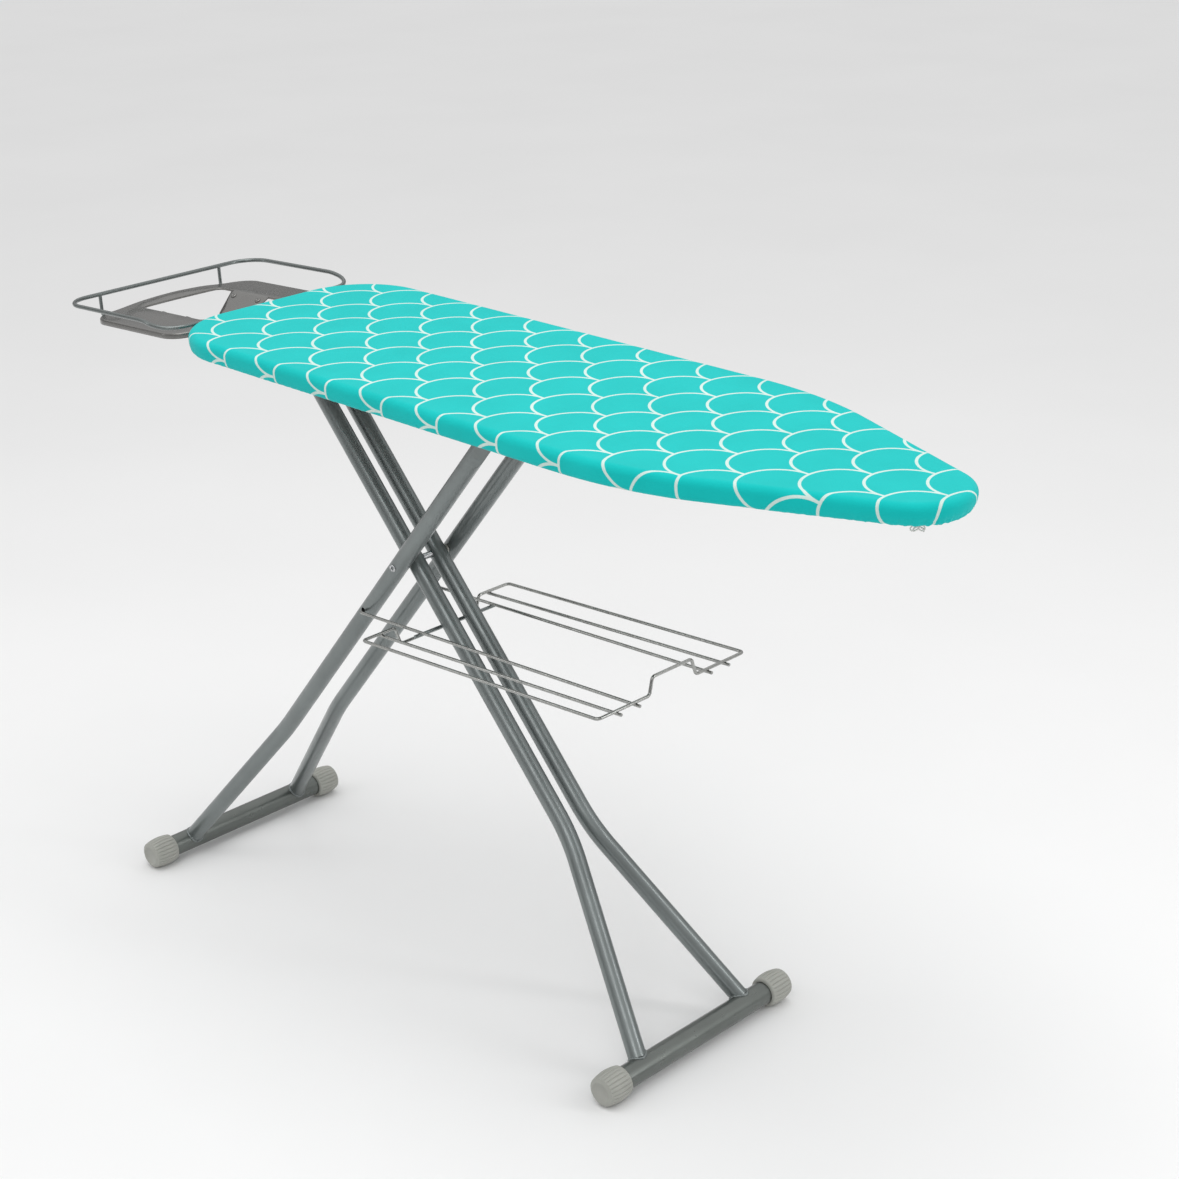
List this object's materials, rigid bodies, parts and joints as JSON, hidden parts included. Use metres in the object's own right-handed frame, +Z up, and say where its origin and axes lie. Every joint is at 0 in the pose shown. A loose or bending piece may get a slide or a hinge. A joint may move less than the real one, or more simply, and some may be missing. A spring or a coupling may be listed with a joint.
{
  "type": "ironing board",
  "caption": "Folding ironing board with a padded cloth-covered deck, crossed tube legs, an iron rest at the heel and a wire clothes rack.",
  "frame": {"origin": "middle of the standing board's bounding box, at floor level", "axes": "+X along the board towards its nose, +Y to the left of someone facing the nose, +Z up"},
  "size_m": [1.4504, 0.374, 0.8908],
  "materials": {
    "cotton": "woven cotton, turquoise with pale scallop lines",
    "felt": "needled felt pad",
    "cord": "braided white cord",
    "grey_paint": "metallic grey powder coat",
    "bright_wire": "bright zinc plating",
    "plated_steel": "zinc plated",
    "grey_plastic": "moulded, ribbed on the foot caps",
    "black_plastic": "moulded"
  },
  "bodies": {
    "board": {"cover": "cotton", "pad": "felt", "deck_panel": "grey_paint", "rim_frame": "grey_paint", "draw_cord": "cord", "cord_loop": "cord", "heel_channel": "grey_paint", "pivot_channel": "grey_paint", "lever_channel": "grey_paint", "nose_channel": "grey_paint", "pivot_bracket_left": "grey_paint", "slide_rail_left": "grey_paint", "pivot_bracket_right": "grey_paint", "slide_rail_right": "grey_paint", "lever_spring": "plated_steel", "lever_bracket_inner": "grey_paint", "lever_bracket_outer": "grey_paint", "guard_ring": "grey_paint", "iron_rest_plate": "grey_paint", "rest_tab_left": "grey_paint", "support_wire_left": "grey_paint", "ring_post_left": "grey_paint", "rest_stud_left_1": "plated_steel", "rest_stud_left_2": "plated_steel", "rest_tab_right": "grey_paint", "support_wire_right": "grey_paint", "ring_post_right": "grey_paint", "rest_stud_right_1": "plated_steel", "rest_stud_right_2": "plated_steel"},
    "lever": {"latch_plate": "plated_steel", "lever_rod": "plated_steel", "lever_grip": "black_plastic"},
    "inner_leg": {"inner_tube_left": "grey_paint", "inner_cap_left": "grey_plastic", "axle_spacer_left": "grey_plastic", "inner_tube_right": "grey_paint", "inner_cap_right": "grey_plastic", "axle_spacer_right": "grey_plastic", "inner_foot_bar": "grey_paint", "inner_top_rod": "plated_steel", "axle_sleeve": "plated_steel", "cross_axle": "plated_steel", "rack_rest_rod": "grey_paint"},
    "outer_leg": {"outer_tube_left": "grey_paint", "outer_cap_left": "grey_plastic", "slider_left": "black_plastic", "rod_cap_left": "black_plastic", "outer_tube_right": "grey_paint", "outer_cap_right": "grey_plastic", "slider_right": "black_plastic", "rod_cap_right": "black_plastic", "outer_foot_bar": "grey_paint", "outer_top_rod": "plated_steel"},
    "rack": {"rack_frame": "bright_wire", "rack_hook_wire_left": "bright_wire", "rack_wire_left": "bright_wire", "rack_hook_wire_right": "bright_wire", "rack_wire_right": "bright_wire"}
  },
  "joints": [
    {"name": "inner_leg_fold", "type": "hinge", "parent": "board", "child": "inner_leg", "pos_m": [-0.38694, 0, 0.84622], "axis": [0, -1, 0], "range_deg": [0, 46.23]},
    {"name": "cross_pivot", "type": "hinge", "parent": "inner_leg", "child": "outer_leg", "pos_m": [-0.16044, 0, 0.58242], "axis": [0, -1, 0], "range_deg": [-94.8, 0]},
    {"name": "rack_fold", "type": "hinge", "parent": "outer_leg", "child": "rack", "pos_m": [-0.23014, 0, 0.50124], "axis": [0, -1, 0], "range_deg": [0, 46.4]},
    {"name": "height_lever", "type": "hinge", "parent": "board", "child": "lever", "pos_m": [0.00502, 0, 0.85556], "axis": [0, -1, 0], "range_deg": [-7.5, 0], "stiffness_Nm_per_rad": 1, "springref_deg": -20.05}
  ],
  "couplings": [
    {"joint": "cross_pivot", "follows": "inner_leg_fold", "ratio": -2.0485},
    {"joint": "rack_fold", "follows": "inner_leg_fold", "ratio": 1}
  ]
}
